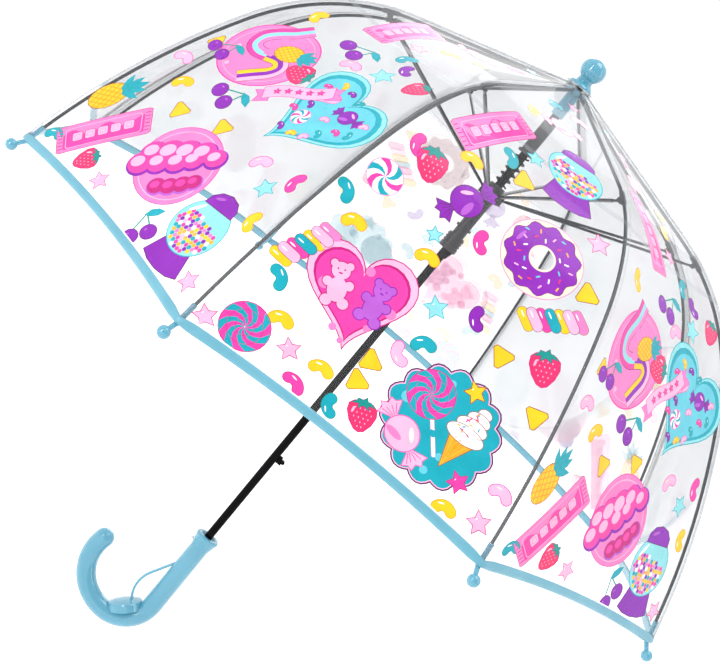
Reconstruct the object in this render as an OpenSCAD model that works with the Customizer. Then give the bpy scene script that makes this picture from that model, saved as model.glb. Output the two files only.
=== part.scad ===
// Children's dome umbrella, open, with its shaft upright.
// Origin: on the shaft's axis at the middle of the hand grip. +Z runs up the shaft to the ferrule,
// and the crook bends towards -X. All lengths are in millimetres.

/* [Canopy] */
// Radius of the open canopy at its rib tips
rim_r = 370; // [360:1:380]
// Height of the rim above the middle of the hand grip
rim_z = 248; // [240:1:256]
// Thickness of the clear film
film_t = 0.4; // [0.3:0.1:0.8]

/* [Shaft and handle] */
// Diameter of the steel shaft
shaft_d = 8; // [8:0.1:8.4]
// Diameter of the crook at its bend
crook_d = 19.4; // [19:0.1:20]
// Radius of the crook's centre line where it leaves the shank
crook_r = 33; // [32:0.5:34]
// Radius of the crook's centre line round its open end
crook_end_r = 45; // [44:0.5:46]
// Height of the top of the handle above the middle of the grip
handle_top = 35; // [34:0.5:38]

/* [Frame] */
// Diameter of a rib's rod
rib_d = 3; // [2.6:0.1:3]
// Distance from the shaft's axis to a rib's bracket
bracket_x = 185; // [180:1:190]
// Height of the runner's hub above the rim
hub_h = 207.2; // [205:0.2:209]
// Angle that a rib swings through when the umbrella closes
fold_angle = 45; // [40:1:45]
// Diameter of the ball on a rib's tip
tip_ball_d = 10.5; // [9:0.5:10.5]

/* [Hidden] */
$fn = 48;
rib_count = 8;
step = 360 / rib_count;
first_rib = step / 2;
gap = 0.3;

// The canopy's profile at a rib: two arcs and a straight line, tangent to each other.
// An arc's point at angle a is its centre plus its radius times (cos a, sin a).
flank_a = 14.5;
flank_r = 680;
shoulder_a = 32.5;
shoulder_r = 215;
top_a = 74;
flank_c = [rim_r - flank_r * cos(flank_a), rim_z - flank_r * sin(flank_a)];
shoulder_start = flank_c + flank_r * [cos(shoulder_a), sin(shoulder_a)];
shoulder_c = shoulder_start - shoulder_r * [cos(shoulder_a), sin(shoulder_a)];
top_start = shoulder_c + shoulder_r * [cos(top_a), sin(top_a)];
top_dir = [-sin(top_a), cos(top_a)];
film_hole_r = 8.5;
top_l = (top_start[0] - film_hole_r) / sin(top_a);

// Rib rods run this far inside the film's outer face
rib_r = rib_d / 2;
rod_in = 3.8;
rod_top = top_start - rod_in * [cos(top_a), sin(top_a)];
// Crown hinge, where the rods' line crosses the wire ring
crown_r = 7;
crown_h = [crown_r, rod_top[1] + (rod_top[0] - crown_r) / tan(top_a)];
blade_t = 1.6;
slot_w = 2.2;
blade_l = 10;

// Bracket pin below the rod, on the shoulder arc
pin_in = rod_in + 3.6;
pin_a = acos((bracket_x - shoulder_c[0]) / (shoulder_r - pin_in));
pin_p = [bracket_x, shoulder_c[1] + (shoulder_r - pin_in) * sin(pin_a)];
pin_r = 0.8;
pin_bore_r = 0.9;

// Runner hub hinge, and the stretcher between the two pins
hub_p = [9.3, rim_z + hub_h];
stretcher_v = pin_p - hub_p;
stretcher_l = norm(stretcher_v);
stretcher_a = atan2(stretcher_v[1], stretcher_v[0]);

// Closed place of the hub, from the folded rib
arm_v = pin_p - crown_h;
arm_l = norm(arm_v);
arm_closed_a = atan2(arm_v[1], arm_v[0]) - fold_angle;
pin_closed = crown_h + arm_l * [cos(arm_closed_a), sin(arm_closed_a)];
hub_closed_z = pin_closed[1] - sqrt(pow(stretcher_l, 2) - pow(pin_closed[0] - hub_p[0], 2));
runner_travel = hub_p[1] - hub_closed_z;

shaft_r = shaft_d / 2;
bore_r = shaft_r - 0.8;
shaft_bottom = -22;
shaft_top = crown_h[1] + 20;

// Runner sizes
runner_bore_r = shaft_r + 0.15;
sleeve_r = 6.2;
sleeve_l = 65;
hub_r = 12.5;
hub_half = 5;
key_w = 3;
key_r = 7.8;

// Catches: a tooth that stands out of the shaft towards +X
tooth_l = 8;
tooth_w = 2.2;
tooth_out = 3.2;
knob_out = 5.4;
knob_r = 2;
open_catch_z = hub_p[1] - sleeve_l - gap - tooth_l / 2;
closed_catch_z = rim_z - 112;
catch_slot_w = 2.6;
catch_slot_l = 16;

// Spring and stop above the runner
spring_r = 6.3;
wire_r = 0.9;
spring_turns = 5;
spring_z = hub_p[1] + hub_half + 6;
spring_l = 34;
stop_z = spring_z + spring_l + wire_r * 2 + 0.4;
stop_l = 38;

// Handle
crook_cz = -53.5;
crook_end_cz = crook_cz - crook_r + crook_end_r;
crook_end_a = 105;
crook_rr = crook_d / 2;
collar_l = 22;
collar_z = handle_top - collar_l;
collar_r = 9.4;
flare_r = 12.2;

// Round cap seated across the inside of the bend; its top faces the middle of the crook
cap_r = 16.6;
cap_t = 8;
cap_p = [-23, 0, -66.4];
cap_tilt = -39.7;

// Strap from the shank to the cap: a straight run and an arc
strap_w = 4.4;
strap_t = 2.4;
strap_r = 30;
strap_c = [5.2, 0, -42.9];
strap_a0 = 151;
strap_a1 = 222;
strap_run = 31;

// Tip
tip_sleeve_r = 2.3;
tip_sleeve_l = 18;
tip_neck_l = 12;
tip_ball_r = tip_ball_d / 2;

BLUE = [0.42, 0.72, 0.88];
BLACK = [0.07, 0.07, 0.08];
CLEAR = [0.9, 0.95, 0.98, 0.3];

// Places a rib's own (x, z) plane round the shaft. Rib 1 is the first one left of -Y.
function rib_turn(n) = first_rib + 180 + step * (n - 1);
module at_rib(n) { rotate([0, 0, rib_turn(n)]) children(); }

// A round rod along an arc in the (x, z) plane
module arc_rod(c, r, a0, a1, rod_r) {
    translate([c[0], 0, c[1]]) rotate([90, 0, 0]) rotate([0, 0, a0])
        rotate_extrude(angle = a1 - a0, $fn = 96) translate([r, 0]) circle(r = rod_r, $fn = 24);
}

// A round rod between two points of the (x, z) plane
module straight_rod(p, q, rod_r) {
    v = q - p;
    translate([p[0], 0, p[1]]) rotate([0, atan2(v[0], v[1]), 0])
        cylinder(h = norm(v), r = rod_r, $fn = 24);
}

// A flat bar between two points of the (x, z) plane, t thick across it and w deep in it
module flat_bar(p, q, w, t) {
    v = q - p;
    translate([p[0], 0, p[1]]) rotate([0, -atan2(v[1], v[0]), 0])
        translate([0, -t / 2, -w / 2]) cube([norm(v), t, w]);
}

// A disc on a hinge axis, across the (x, z) plane
module cross_disc(p, r, t) {
    translate([p[0], 0, p[1]]) rotate([90, 0, 0]) cylinder(h = t, r = r, center = true, $fn = 32);
}

// ---- Handle ----

module crook_tube(rr) {
    translate([-crook_r, 0, crook_cz]) rotate([90, 0, 0]) rotate([0, 0, -90])
        rotate_extrude(angle = 90, $fn = 96) translate([crook_r, 0]) circle(r = rr);
    translate([-crook_r, 0, crook_end_cz]) rotate([90, 0, 0]) rotate([0, 0, -90 - crook_end_a])
        rotate_extrude(angle = crook_end_a + 0.6, $fn = 96) translate([crook_end_r, 0]) circle(r = rr - 0.08);
}

module crook_handle() {
    tip_x = -crook_r - crook_end_r * sin(crook_end_a);
    tip_z = crook_end_cz - crook_end_r * cos(crook_end_a);
    color(BLUE) difference() {
        union() {
            translate([0, 0, crook_cz - 0.3])
                cylinder(h = collar_z - crook_cz + 0.3, r1 = crook_rr + 0.08, r2 = collar_r);
            crook_tube(crook_rr);
            translate([tip_x, 0, tip_z]) sphere(r = crook_rr - 0.16);
        }
        translate([0, 0, shaft_bottom]) cylinder(h = 100, r = shaft_r);
        collar_spigot(0.05);
        strap_path(0.05);
    }
}

module handle_cap() {
    color(BLUE) difference() {
        translate(cap_p) rotate([0, cap_tilt, 0]) rotate_extrude() union() {
            translate([0, -cap_t]) square([cap_r, cap_t - 0.8]);
            polygon([[0, -1], [cap_r, -1], [cap_r - 0.6, 0], [10, 1.6], [5, 2.3], [0, 2.5]]);
        }
        crook_tube(crook_rr + 0.02);
        translate([0, 0, crook_cz]) cylinder(h = 80, r = crook_rr + 0.02);
        strap_path(0.05);
    }
}

module strap_path(extra = 0) {
    translate(strap_c) rotate([90, 0, 0]) rotate([0, 0, strap_a0]) {
        rotate_extrude(angle = strap_a1 - strap_a0, $fn = 96)
            translate([strap_r, 0]) square([strap_t + 2 * extra, strap_w + 2 * extra], center = true);
        translate([strap_r - strap_t / 2 - extra, -strap_run - extra, -strap_w / 2 - extra])
            cube([strap_t + 2 * extra, strap_run + extra, strap_w + 2 * extra]);
    }
}

module handle_strap() { color(BLUE) strap_path(); }

module collar_spigot(extra = 0) {
    translate([0, 0, collar_z - 6 - extra]) cylinder(h = 6 + 2 * extra, r = 7.2 + extra);
}

module handle_collar() {
    color(BLUE) difference() {
        union() {
            collar_spigot();
            translate([0, 0, collar_z]) rotate_extrude() polygon([
                [0, 0], [collar_r, 0], [collar_r, collar_l * 0.35],
                [flare_r - 0.8, collar_l * 0.75], [flare_r, collar_l * 0.84],
                [flare_r, collar_l * 0.93], [flare_r - 1.2, collar_l], [0, collar_l]
            ]);
        }
        translate([0, 0, collar_z - 10]) cylinder(h = 40, r = shaft_r);
        translate([0, 0, collar_z + collar_l - 4]) cylinder(h = 5, r1 = shaft_r + 1.5, r2 = shaft_r + 4.5);
        stud_place() cylinder(h = 20, r = 2.05, $fn = 32);
    }
}

module stud_place() {
    translate([-6, 0, collar_z + collar_l * 0.5]) rotate([0, -90, 0]) children();
}

module collar_stud() {
    color("silver") stud_place() {
        cylinder(h = 5, r = 2, $fn = 32);
        translate([0, 0, 5]) cylinder(h = 1.6, r = 2, $fn = 32);
        translate([0, 0, 6.6]) cylinder(h = 1.2, r1 = 3.2, r2 = 2.2, $fn = 32);
    }
}

// ---- Shaft and catches ----

module shaft() {
    color(BLACK) difference() {
        translate([0, 0, shaft_bottom]) cylinder(h = shaft_top - shaft_bottom, r = shaft_r);
        translate([0, 0, shaft_bottom - 1]) cylinder(h = shaft_top - shaft_bottom + 2, r = bore_r);
        for (z = [open_catch_z, closed_catch_z])
            translate([shaft_r, 0, z]) cube([shaft_d, catch_slot_w, catch_slot_l], center = true);
    }
}

// Sprung leaf inside the tube with its tooth through the slot. The tooth is square below the
// runner's stop face and slopes away on the other side.
module catch_tooth(z, flip, out) {
    color(BLACK) translate([0, tooth_w / 2, z]) rotate([90, 0, 0]) linear_extrude(tooth_w)
        polygon([
            [0.3, -10], [1.6, -10], [1.6, -tooth_l / 2],
            [shaft_r + out - flip * 2.4, -tooth_l / 2],
            [shaft_r + out - (1 - flip) * 2.4, tooth_l / 2],
            [1.6, tooth_l / 2], [1.6, 10], [0.3, 10]
        ]);
}

module open_catch() { catch_tooth(open_catch_z, 1, tooth_out); }

// The closed catch carries a cross knob for the thumb
module closed_catch() {
    catch_tooth(closed_catch_z, 0, knob_out);
    color(BLACK) translate([shaft_r + knob_out, 2.4, closed_catch_z]) rotate([90, 0, 0])
        cylinder(h = 4.8, r = knob_r);
}

// ---- Runner ----

module runner() {
    color(BLACK) translate([0, 0, hub_p[1]]) difference() {
        union() {
            translate([0, 0, -sleeve_l]) cylinder(h = sleeve_l, r = sleeve_r);
            translate([0, 0, -hub_half]) cylinder(h = 2 * hub_half, r = hub_r);
            translate([0, 0, hub_half]) cylinder(h = 5, r = 8);
            translate([0, 0, -sleeve_l]) cylinder(h = 5, r = 9);
            translate([0, 0, -sleeve_l + 24]) cylinder(h = 2.5, r = 8);
            translate([0, 0, -hub_half - 9]) cylinder(h = 9, r1 = sleeve_r, r2 = 7);
        }
        translate([0, 0, -sleeve_l - 1]) cylinder(h = sleeve_l + 20, r = runner_bore_r);
        translate([0, -key_w / 2, -sleeve_l - 1]) cube([key_r, key_w, sleeve_l + 20]);
        for (n = [1:rib_count]) at_rib(n)
            translate([6.8, -slot_w / 2, -hub_half - 1]) cube([20, slot_w, 2 * hub_half + 2]);
    }
}

// Ribbed ring that the fingers push, held between the runner's two lower flanges
module runner_grip_ring() {
    color(BLACK) translate([0, 0, hub_p[1] - sleeve_l]) difference() {
        union() {
            translate([0, 0, 5.1]) cylinder(h = 11, r = 8.2);
            for (h = [6.4, 9.6, 12.8]) translate([0, 0, h]) cylinder(h = 1.8, r = 9);
        }
        translate([0, 0, 4]) cylinder(h = 20, r = sleeve_r + 0.05);
        translate([0, -key_w / 2, 4]) cube([key_r, key_w, 20]);
    }
}

// ---- Spring and its stop ----

spring_sides = 10;
spring_steps = 20;
spring_rings = spring_turns * spring_steps;
function spring_at(i) = [
    spring_r * cos(360 * i / spring_steps),
    spring_r * sin(360 * i / spring_steps),
    spring_z + wire_r + (spring_l - wire_r) * i / spring_rings
];
function spring_ring(i) = let (a = 360 * i / spring_steps) [
    for (k = [0:spring_sides - 1]) let (b = 360 * k / spring_sides)
        spring_at(i) + wire_r * [cos(a) * cos(b), sin(a) * cos(b), sin(b)]
];
function tube_faces(rings, sides) = concat(
    [[for (k = [0:sides - 1]) k]],
    [for (i = [0:rings - 1], k = [0:sides - 1])
        let (j = (k + 1) % sides)
            [i * sides + k, (i + 1) * sides + k, (i + 1) * sides + j, i * sides + j]],
    [[for (k = [sides - 1:-1:0]) rings * sides + k]]
);

module cushion_spring() {
    color(BLACK) polyhedron(
        points = [for (i = [0:spring_rings]) each spring_ring(i)],
        faces = tube_faces(spring_rings, spring_sides),
        convexity = 10
    );
}

module spring_stop() {
    color([0.2, 0.2, 0.22]) translate([0, 0, stop_z]) difference() {
        union() {
            cylinder(h = stop_l, r = 6.2);
            cylinder(h = 3, r = 8);
        }
        translate([0, 0, -1]) cylinder(h = stop_l + 2, r = shaft_r);
    }
}

// ---- Crown ----

notch_half = 4;
notch_top = 1.5;
notch_h = notch_half + notch_top;
boss_l = 24;
wire_ring_r = 0.6;

module crown_notch() {
    color(BLUE) difference() {
        union() {
            translate([0, 0, crown_h[1] - notch_half - boss_l]) cylinder(h = boss_l, r = 6);
            translate([0, 0, crown_h[1] - notch_half]) cylinder(h = notch_h, r = 11);
        }
        translate([0, 0, crown_h[1] - 60]) cylinder(h = 120, r = shaft_r);
        translate([0, 0, crown_h[1]]) rotate_extrude()
            translate([crown_r, 0]) circle(r = wire_ring_r + 0.1, $fn = 24);
        for (n = [1:rib_count]) at_rib(n)
            translate([4.6, -slot_w / 2, crown_h[1] - notch_half - 1]) cube([20, slot_w, notch_h + 2]);
    }
}

module crown_wire() {
    color("silver") translate([0, 0, crown_h[1]]) rotate_extrude()
        translate([crown_r, 0]) circle(r = wire_ring_r, $fn = 24);
}

washer_z = top_start[1] + top_l * cos(top_a) + 0.35;
ferrule_z = washer_z + 1.2;

module top_washer() {
    color(CLEAR) translate([0, 0, washer_z]) difference() {
        cylinder(h = 1.1, r = 14);
        translate([0, 0, -1]) cylinder(h = 4, r = shaft_r + 0.05);
    }
}

module ferrule() {
    color(BLUE) translate([0, 0, ferrule_z]) difference() {
        rotate_extrude() union() {
            polygon([
                [0, 0], [12, 0], [12, 1.2], [11, 3], [9, 5], [7.4, 7],
                [7, 8.5], [7, 10], [0, 10]
            ]);
            translate([0, 18.8]) intersection() {
                circle(r = 12);
                translate([0, -12]) square([12, 24]);
            }
        }
        translate([0, 0, -1]) cylinder(h = shaft_top - ferrule_z + 1.1, r = shaft_r);
    }
}

// ---- Ribs ----

module rib(n) {
    rod_flank_r = flank_r - rod_in;
    rod_shoulder_r = shoulder_r - rod_in;
    blade_end = crown_h - blade_l * top_dir;
    color(BLACK) at_rib(n) difference() {
        union() {
            cross_disc(crown_h, 2.3, blade_t);
            flat_bar(crown_h, blade_end - 2 * top_dir, 2.4, blade_t);
            straight_rod(blade_end, rod_top - 0.6 * top_dir, rib_r + 0.06);
            arc_rod(shoulder_c, rod_shoulder_r, shoulder_a, top_a, rib_r);
            arc_rod(flank_c, rod_flank_r, flank_a, shoulder_a + 0.1, rib_r - 0.06);
        }
        cross_disc(crown_h, wire_ring_r + 0.3, 8);
    }
}

// Clip round the rod with two ears that carry the stretcher's pin
ear_t = 1.2;
ear_gap = 2.2;
eye_r = 1.75;
module rib_bracket(n) {
    color(BLACK) at_rib(n) {
        difference() {
            union() {
                arc_rod_clip();
                for (s = [-1, 1]) translate([0, s * (ear_gap + ear_t) / 2, 0]) ear();
            }
            arc_rod(shoulder_c, shoulder_r - rod_in, pin_a - 4, pin_a + 4, rib_r + 0.02);
            cross_disc(pin_p, pin_r + 0.02, 20);
            cross_disc(pin_p, eye_r + 0.45, ear_gap - 0.1);
        }
        cross_disc(pin_p, pin_r, ear_gap + 2 * ear_t + 0.8);
    }
}

module ear() {
    hinge_out = shoulder_c + (shoulder_r - rod_in - 1) * [cos(pin_a), sin(pin_a)];
    flat_bar(pin_p, hinge_out, 4, ear_t);
    cross_disc(pin_p, 2, ear_t);
}

module arc_rod_clip() {
    arc_rod(shoulder_c, shoulder_r - rod_in, pin_a - 2, pin_a + 2, rib_r + 0.8);
}

// Ball tip with a socket over the rod's end
module rib_tip(n) {
    rod_end = flank_c + (flank_r - rod_in) * [cos(flank_a), sin(flank_a)];
    down = [sin(flank_a), -cos(flank_a)];
    ball_p = rod_end + tip_neck_l * down + 5.6 * [cos(flank_a), sin(flank_a)];
    sleeve_top = rod_end - tip_sleeve_l * down;
    color(BLUE) at_rib(n) difference() {
        union() {
            straight_rod(sleeve_top, rod_end + 2 * down, tip_sleeve_r);
            straight_rod(rod_end + down, ball_p, 2.1);
            translate([ball_p[0], 0, ball_p[1]]) sphere(r = tip_ball_r);
        }
        straight_rod(sleeve_top - down, rod_end + 0.3 * down, rib_r + 0.35);
    }
}

// ---- Stretchers ----

module stretcher(n) {
    dir = stretcher_v / stretcher_l;
    color(BLACK) at_rib(n) difference() {
        union() {
            cross_disc(pin_p, eye_r, blade_t);
            cross_disc(hub_p, 1.7, blade_t);
            flat_bar(hub_p, pin_p, 2, blade_t);
            flat_bar(hub_p + 9 * dir, pin_p - 9 * dir, 2.4, 2.2);
        }
        cross_disc(pin_p, pin_bore_r, 8);
        cross_disc(hub_p, 0.8, 8);
    }
}

// ---- Canopy ----

// The profile's points from the hem to the crown hole, inset from the film's outer face
film_rows = 9;
function profile(inset) = concat(
    [for (i = [0:film_rows]) let (a = flank_a + (shoulder_a - flank_a) * i / film_rows)
        flank_c + (flank_r - inset) * [cos(a), sin(a)]],
    [for (i = [1:film_rows]) let (a = shoulder_a + (top_a - shoulder_a) * i / film_rows)
        shoulder_c + (shoulder_r - inset) * [cos(a), sin(a)]],
    [for (i = [1:3]) top_start - inset * [cos(top_a), sin(top_a)] + top_l * i / 3 * top_dir]
);

// A panel is the film that one rib carries: two flat-sided half gores that meet at the rib.
// Each row has the near mid-gore edge, the corner on the rib and the far mid-gore edge.
function row_points(p) = let (y = p[0] * sin(step / 2) * cos(step / 2) - 0.2, x = p[0] * pow(cos(step / 2), 2))
    [[x + 0.2 * tan(step / 2), -y, p[1]], [p[0], 0, p[1]], [x + 0.2 * tan(step / 2), y, p[1]]];

module canopy_panel(n) {
    outer = profile(0);
    inner = profile(film_t);
    rows = len(outer);
    pts = concat([for (p = outer) each row_points(p)], [for (p = inner) each row_points(p)]);
    m = 3 * rows;
    faces = concat(
        [for (i = [0:rows - 2], k = [0, 1]) let (a = 3 * i + k) [a, a + 3, a + 4, a + 1]],
        [for (i = [0:rows - 2], k = [0, 1]) let (a = m + 3 * i + k) [a, a + 1, a + 4, a + 3]],
        [for (i = [0:rows - 2]) let (a = 3 * i) [a, m + a, m + a + 3, a + 3]],
        [for (i = [0:rows - 2]) let (a = 3 * i + 2) [a, a + 3, m + a + 3, m + a]],
        [for (k = [0, 1]) [k, k + 1, m + k + 1, m + k]],
        [for (k = [0, 1]) let (a = 3 * (rows - 1) + k) [a, m + a, m + a + 1, a + 1]]
    );
    color(CLEAR) at_rib(n) polyhedron(points = pts, faces = faces, convexity = 6);
}

crook_handle();
handle_collar();
collar_stud();
handle_cap();
handle_strap();
shaft();
open_catch();
closed_catch();
runner();
runner_grip_ring();
cushion_spring();
spring_stop();
crown_notch();
crown_wire();
top_washer();
ferrule();
rib(1);  // rib_1
rib(2);  // rib_2
rib(3);  // rib_3
rib(4);  // rib_4
rib(5);  // rib_5
rib(6);  // rib_6
rib(7);  // rib_7
rib(8);  // rib_8
rib_bracket(1);  // rib_bracket_1
rib_bracket(2);  // rib_bracket_2
rib_bracket(3);  // rib_bracket_3
rib_bracket(4);  // rib_bracket_4
rib_bracket(5);  // rib_bracket_5
rib_bracket(6);  // rib_bracket_6
rib_bracket(7);  // rib_bracket_7
rib_bracket(8);  // rib_bracket_8
rib_tip(1);  // rib_tip_1
rib_tip(2);  // rib_tip_2
rib_tip(3);  // rib_tip_3
rib_tip(4);  // rib_tip_4
rib_tip(5);  // rib_tip_5
rib_tip(6);  // rib_tip_6
rib_tip(7);  // rib_tip_7
rib_tip(8);  // rib_tip_8
stretcher(1);  // stretcher_1
stretcher(2);  // stretcher_2
stretcher(3);  // stretcher_3
stretcher(4);  // stretcher_4
stretcher(5);  // stretcher_5
stretcher(6);  // stretcher_6
stretcher(7);  // stretcher_7
stretcher(8);  // stretcher_8
canopy_panel(1);  // canopy_panel_1
canopy_panel(2);  // canopy_panel_2
canopy_panel(3);  // canopy_panel_3
canopy_panel(4);  // canopy_panel_4
canopy_panel(5);  // canopy_panel_5
canopy_panel(6);  // canopy_panel_6
canopy_panel(7);  // canopy_panel_7
canopy_panel(8);  // canopy_panel_8
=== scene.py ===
import bpy, bmesh, random
from math import sin, cos, exp, radians, pi, hypot
from mathutils import Vector, Matrix


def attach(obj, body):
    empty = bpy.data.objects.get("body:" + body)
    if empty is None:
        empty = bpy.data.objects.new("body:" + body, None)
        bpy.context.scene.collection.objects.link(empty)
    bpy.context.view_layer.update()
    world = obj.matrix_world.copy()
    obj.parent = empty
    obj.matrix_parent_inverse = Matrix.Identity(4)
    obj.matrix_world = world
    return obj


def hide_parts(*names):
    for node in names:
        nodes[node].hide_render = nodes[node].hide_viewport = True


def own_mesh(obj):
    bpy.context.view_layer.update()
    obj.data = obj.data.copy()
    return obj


# ---- Camera first ----
cam_data = bpy.data.cameras.new("view_camera")
cam_data.lens = 78.56
cam_data.sensor_width = 36.0
cam = bpy.data.objects.new("view_camera", cam_data)
bpy.context.scene.collection.objects.link(cam)
AZ, EL, ROLL = radians(-3.68), radians(7.61), radians(-39.51)
back = Vector((sin(AZ) * cos(EL), -cos(AZ) * cos(EL), sin(EL)))
right = Vector((cos(AZ), sin(AZ), 0))
up = back.cross(right)
cx_ = cos(ROLL) * right - sin(ROLL) * up
cy_ = sin(ROLL) * right + cos(ROLL) * up
cam.matrix_world = Matrix((
    (cx_.x, cy_.x, back.x, -0.1066),
    (cx_.y, cy_.y, back.y, -1.4497),
    (cx_.z, cy_.z, back.z, 0.4741),
    (0, 0, 0, 1)))
bpy.context.scene.camera = cam
bpy.context.scene.view_settings.view_transform = "Standard"

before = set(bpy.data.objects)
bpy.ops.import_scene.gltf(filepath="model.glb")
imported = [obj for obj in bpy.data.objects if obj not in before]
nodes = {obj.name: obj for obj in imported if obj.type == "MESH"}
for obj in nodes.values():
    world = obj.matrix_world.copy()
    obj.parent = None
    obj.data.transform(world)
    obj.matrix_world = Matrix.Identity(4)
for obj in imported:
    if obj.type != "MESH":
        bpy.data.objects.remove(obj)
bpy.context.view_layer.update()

# ---- Materials ----
def new_mat(name):
    m = bpy.data.materials.new(name)
    m.use_nodes = True
    nt = m.node_tree
    b = nt.nodes["Principled BSDF"]
    return m, nt, b


def node(nt, kind, **inputs):
    n = nt.nodes.new(kind)
    for k, v in inputs.items():
        n.inputs[k.replace("_", " ")].default_value = v
    return n


def grain(nt, b, scale, low, high, bump=0.0, bump_scale=None, detail=3.0):
    """Roughness that wanders between low and high, and a fine bump."""
    tc = nt.nodes.new("ShaderNodeTexCoord")
    n = node(nt, "ShaderNodeTexNoise", Scale=scale, Detail=detail, Roughness=0.55)
    nt.links.new(tc.outputs["Object"], n.inputs["Vector"])
    r = node(nt, "ShaderNodeMapRange")
    r.inputs["To Min"].default_value = low
    r.inputs["To Max"].default_value = high
    nt.links.new(n.outputs["Fac"], r.inputs["Value"])
    nt.links.new(r.outputs["Result"], b.inputs["Roughness"])
    if bump:
        n2 = node(nt, "ShaderNodeTexNoise", Scale=bump_scale or scale * 4, Detail=2.0,
                  Roughness=0.5)
        nt.links.new(tc.outputs["Object"], n2.inputs["Vector"])
        bp = node(nt, "ShaderNodeBump", Strength=bump, Distance=0.0004)
        nt.links.new(n2.outputs["Fac"], bp.inputs["Height"])
        nt.links.new(bp.outputs["Normal"], b.inputs["Normal"])
    return tc


def tinted(nt, b, tc, a, c, scale):
    """Base colour that drifts a little between two shades."""
    n = node(nt, "ShaderNodeTexNoise", Scale=scale, Detail=2.0, Roughness=0.5)
    nt.links.new(tc.outputs["Object"], n.inputs["Vector"])
    ramp = nt.nodes.new("ShaderNodeValToRGB")
    ramp.color_ramp.elements[0].position = 0.35
    ramp.color_ramp.elements[1].position = 0.65
    ramp.color_ramp.elements[0].color = (*a, 1)
    ramp.color_ramp.elements[1].color = (*c, 1)
    nt.links.new(n.outputs["Fac"], ramp.inputs["Fac"])
    nt.links.new(ramp.outputs["Color"], b.inputs["Base Color"])


def plastic(name, a, c, low=0.12, high=0.2, bump=0.03, coat=0.5, sss=0.0, scale=40):
    m, nt, b = new_mat(name)
    tc = grain(nt, b, scale, low, high, bump, 220)
    tinted(nt, b, tc, a, c, 18)
    b.inputs["Coat Weight"].default_value = coat
    b.inputs["Coat Roughness"].default_value = 0.03
    if sss:
        b.inputs["Subsurface Weight"].default_value = sss
        b.inputs["Subsurface Radius"].default_value = (0.004, 0.006, 0.008)
        b.inputs["Subsurface Scale"].default_value = 1.0
    return m


def metal(name, a, c, low, high, metallic=1.0, coat=0.0, bump=0.02, spec=0.5):
    m, nt, b = new_mat(name)
    tc = grain(nt, b, 90, low, high, bump, 500)
    tinted(nt, b, tc, a, c, 30)
    b.inputs["Metallic"].default_value = metallic
    b.inputs["Specular IOR Level"].default_value = spec
    b.inputs["Coat Weight"].default_value = coat
    b.inputs["Coat Roughness"].default_value = 0.05
    return m


BLUE = plastic("moulded_blue", (0.092, 0.35, 0.485), (0.107, 0.375, 0.515), 0.1, 0.15, 0.0, 1.0,
               0.08)
BLACK_STEEL = metal("black_enamel", (0.002, 0.002, 0.0025), (0.004, 0.004, 0.005), 0.1, 0.14, 0.0,
                    0.0, 0.0, 0.06)
RIB_STEEL = metal("rib_steel", (0.02, 0.021, 0.024), (0.045, 0.047, 0.053), 0.18, 0.3, 0.3, 0.0,
                  0.02, 0.3)
BLACK_PLASTIC = plastic("black_plastic", (0.014, 0.014, 0.016), (0.028, 0.028, 0.032), 0.3, 0.42,
                        0.05, 0.2)
GREY_PLASTIC = plastic("grey_plastic", (0.05, 0.05, 0.056), (0.075, 0.075, 0.082), 0.34, 0.46, 0.06,
                       0.1)
WIRE = metal("bare_wire", (0.45, 0.45, 0.47), (0.6, 0.6, 0.62), 0.2, 0.35)
CHROME = metal("bright_stud", (0.78, 0.79, 0.81), (0.88, 0.89, 0.9), 0.05, 0.12)


def film_material(name, haze, gloss, tint):
    """Clear film: mostly see-through, with a little milky haze and a glossy face; its see-through colour
    turns grey towards grazing angles as a painted reflection.
    """
    m, nt, b = new_mat(name)
    tc = grain(nt, b, 14, 0.04, 0.12, 0.12, 9)
    b.inputs["Base Color"].default_value = (0.93, 0.95, 0.97, 1)
    b.inputs["Coat Weight"].default_value = 0.6
    b.inputs["Coat Roughness"].default_value = 0.03
    t = nt.nodes.new("ShaderNodeBsdfTransparent")
    t.inputs["Color"].default_value = (*tint, 1)
    fr = node(nt, "ShaderNodeFresnel", IOR=1.5)
    mul = node(nt, "ShaderNodeMath")
    mul.operation = "MULTIPLY_ADD"
    mul.inputs[1].default_value = gloss
    n = node(nt, "ShaderNodeTexNoise", Scale=11.0, Detail=3.0, Roughness=0.6)
    nt.links.new(tc.outputs["Object"], n.inputs["Vector"])
    r = node(nt, "ShaderNodeMapRange")
    r.inputs["To Min"].default_value = haze * 0.7
    r.inputs["To Max"].default_value = haze * 1.3
    nt.links.new(n.outputs["Fac"], r.inputs["Value"])
    nt.links.new(fr.outputs["Fac"], mul.inputs[0])
    nt.links.new(r.outputs["Result"], mul.inputs[2])
    mix = nt.nodes.new("ShaderNodeMixShader")
    out = nt.nodes["Material Output"]
    # Painted reflection: the see-through colour is darkened to grey towards grazing angles, standing for
    # dark surroundings mirrored along the film's edges
    ramp = nt.nodes.new("ShaderNodeValToRGB")
    ramp.color_ramp.elements[0].position = 0.2
    ramp.color_ramp.elements[1].position = 0.8
    ramp.color_ramp.elements[0].color = (*tint, 1)
    ramp.color_ramp.elements[1].color = (*[0.42 * x for x in tint], 1)
    nt.links.new(fr.outputs["Fac"], ramp.inputs["Fac"])
    nt.links.new(ramp.outputs["Color"], t.inputs["Color"])
    nt.links.new(mul.outputs[0], mix.inputs[0])
    nt.links.new(t.outputs[0], mix.inputs[1])
    nt.links.new(b.outputs[0], mix.inputs[2])
    nt.links.new(mix.outputs[0], out.inputs["Surface"])
    return m


FILM = film_material("clear_film", 0.012, 0.7, (0.985, 0.987, 0.992))
SEAM = film_material("film_seam", 0.06, 1.0, (0.93, 0.94, 0.955))
BAND = film_material("film_band", 0.06, 1.0, (0.8, 0.81, 0.84))
WASHER = film_material("film_washer", 0.22, 1.0, (0.9, 0.93, 0.96))


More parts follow.
